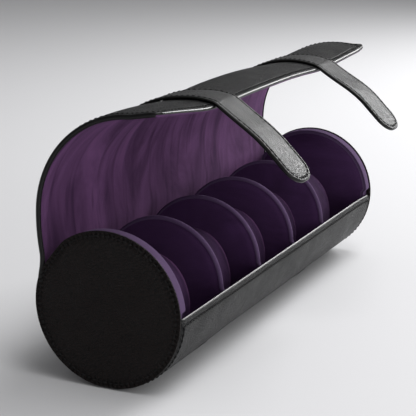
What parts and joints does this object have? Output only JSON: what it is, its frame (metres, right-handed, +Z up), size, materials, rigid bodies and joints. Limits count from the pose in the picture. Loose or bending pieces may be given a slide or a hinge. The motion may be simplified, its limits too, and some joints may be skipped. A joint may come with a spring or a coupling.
{
  "type": "cylindrical watch travel case",
  "caption": "Cylindrical leather travel case for watches: a stiff round trough with suede dividers and padded pillows, a wrap-over flap and strap tabs that hold it shut.",
  "frame": {"origin": "middle of the case's whole outline, open, on the surface it stands on", "axes": "+X along the case to the right as seen from the open front, -Y out of the open front, +Z up"},
  "size_m": [0.32, 0.1324, 0.1577],
  "materials": {
    "black_leather": "fine-grained black leather, semi-matt",
    "strap_leather": "smooth black strap leather, slightly glossy, with a stitched border",
    "purple_suede": "brushed purple suede",
    "light_suede": "brushed suede in a lighter purple",
    "dark_suede": "brushed dark purple suede",
    "foam": "soft open-cell foam, hidden inside the pillows",
    "board": "pressed grey fibre board, hidden between the leather and the lining",
    "magnet": "plain nickel-plated disc, hidden inside the straps"
  },
  "bodies": {
    "case": {"body_leather": "black_leather", "body_board": "board", "body_lining": "purple_suede", "front_lip": "black_leather", "left_base_strap": "strap_leather", "right_base_strap": "strap_leather", "base_magnets": "magnet", "left_end_face": "black_leather", "left_end_suede": "light_suede", "left_end_board": "board", "right_end_face": "black_leather", "right_end_suede": "light_suede", "right_end_board": "board", "divider_1": "light_suede", "divider_2": "light_suede", "divider_3": "light_suede", "divider_4": "light_suede", "divider_boards": "board"},
    "flap_1": {"flap_leather_1": "black_leather", "flap_lining_1": "purple_suede", "flap_straps_1": "strap_leather"},
    "flap_2": {"flap_leather_2": "black_leather", "flap_lining_2": "purple_suede", "flap_straps_2": "strap_leather"},
    "flap_3": {"flap_leather_3": "black_leather", "flap_lining_3": "purple_suede", "flap_straps_3": "strap_leather"},
    "flap_4": {"flap_leather_4": "black_leather", "flap_lining_4": "purple_suede", "flap_straps_4": "strap_leather"},
    "flap_5": {"flap_leather_5": "black_leather", "flap_lining_5": "purple_suede", "flap_straps_5": "strap_leather"},
    "left_tab": {"left_tab_root": "strap_leather"},
    "left_tab_tip": {"left_tab_end": "strap_leather", "left_tab_magnet": "magnet"},
    "right_tab": {"right_tab_root": "strap_leather"},
    "right_tab_tip": {"right_tab_end": "strap_leather", "right_tab_magnet": "magnet"},
    "pillow_body_1": {"pillow_1": "dark_suede", "foam_1": "foam"},
    "pillow_body_2": {"pillow_2": "dark_suede", "foam_2": "foam"},
    "pillow_body_3": {"pillow_3": "dark_suede", "foam_3": "foam"},
    "pillow_body_4": {"pillow_4": "dark_suede", "foam_4": "foam"},
    "pillow_body_5": {"pillow_5": "dark_suede", "foam_5": "foam"}
  },
  "joints": [
    {"name": "flap_hinge", "type": "hinge", "parent": "case", "child": "flap_1", "pos_m": [0, 0.06236, 0.07003], "axis": [-1, 0, 0], "range_deg": [-45, 45]},
    {"name": "flap_bend_2", "type": "hinge", "parent": "flap_1", "child": "flap_2", "pos_m": [0, 0.06164, 0.09882], "axis": [-1, 0, 0], "range_deg": [-14.85, 14.85]},
    {"name": "flap_bend_3", "type": "hinge", "parent": "flap_2", "child": "flap_3", "pos_m": [0, 0.05388, 0.12523], "axis": [-1, 0, 0], "range_deg": [-6.3, 6.3]},
    {"name": "flap_bend_4", "type": "hinge", "parent": "flap_3", "child": "flap_4", "pos_m": [0, 0.03506, 0.14532], "axis": [-1, 0, 0], "range_deg": [-6.3, 6.3]},
    {"name": "flap_bend_5", "type": "hinge", "parent": "flap_4", "child": "flap_5", "pos_m": [0, 0.00921, 0.15479], "axis": [-1, 0, 0], "range_deg": [-6.3, 6.3]},
    {"name": "left_tab_lift", "type": "hinge", "parent": "flap_5", "child": "left_tab", "pos_m": [0, -0.01864, 0.15302], "axis": [-1, 0, 0], "range_deg": [0, 55]},
    {"name": "left_tab_bend", "type": "hinge", "parent": "left_tab", "child": "left_tab_tip", "pos_m": [0, -0.04354, 0.1346], "axis": [-1, 0, 0], "range_deg": [-27.9, 27.9]},
    {"name": "right_tab_lift", "type": "hinge", "parent": "flap_5", "child": "right_tab", "pos_m": [0, -0.01864, 0.15302], "axis": [-1, 0, 0], "range_deg": [0, 55]},
    {"name": "right_tab_bend", "type": "hinge", "parent": "right_tab", "child": "right_tab_tip", "pos_m": [0, -0.04354, 0.1346], "axis": [-1, 0, 0], "range_deg": [-27.9, 27.9]},
    {"name": "pillow_1_lift", "type": "slide", "parent": "case", "child": "pillow_body_1", "axis": [0, 0, 1], "range_m": [0, 0.07]},
    {"name": "pillow_2_lift", "type": "slide", "parent": "case", "child": "pillow_body_2", "axis": [0, 0, 1], "range_m": [0, 0.07]},
    {"name": "pillow_3_lift", "type": "slide", "parent": "case", "child": "pillow_body_3", "axis": [0, 0, 1], "range_m": [0, 0.07]},
    {"name": "pillow_4_lift", "type": "slide", "parent": "case", "child": "pillow_body_4", "axis": [0, 0, 1], "range_m": [0, 0.07]},
    {"name": "pillow_5_lift", "type": "slide", "parent": "case", "child": "pillow_body_5", "axis": [0, 0, 1], "range_m": [0, 0.07]}
  ],
  "couplings": [
    {"joint": "flap_bend_2", "follows": "flap_hinge", "ratio": 0.33},
    {"joint": "flap_bend_3", "follows": "flap_hinge", "ratio": 0.14},
    {"joint": "flap_bend_4", "follows": "flap_hinge", "ratio": 0.14},
    {"joint": "flap_bend_5", "follows": "flap_hinge", "ratio": 0.14},
    {"joint": "left_tab_bend", "follows": "flap_hinge", "ratio": 0.62},
    {"joint": "right_tab_bend", "follows": "flap_hinge", "ratio": 0.62}
  ]
}
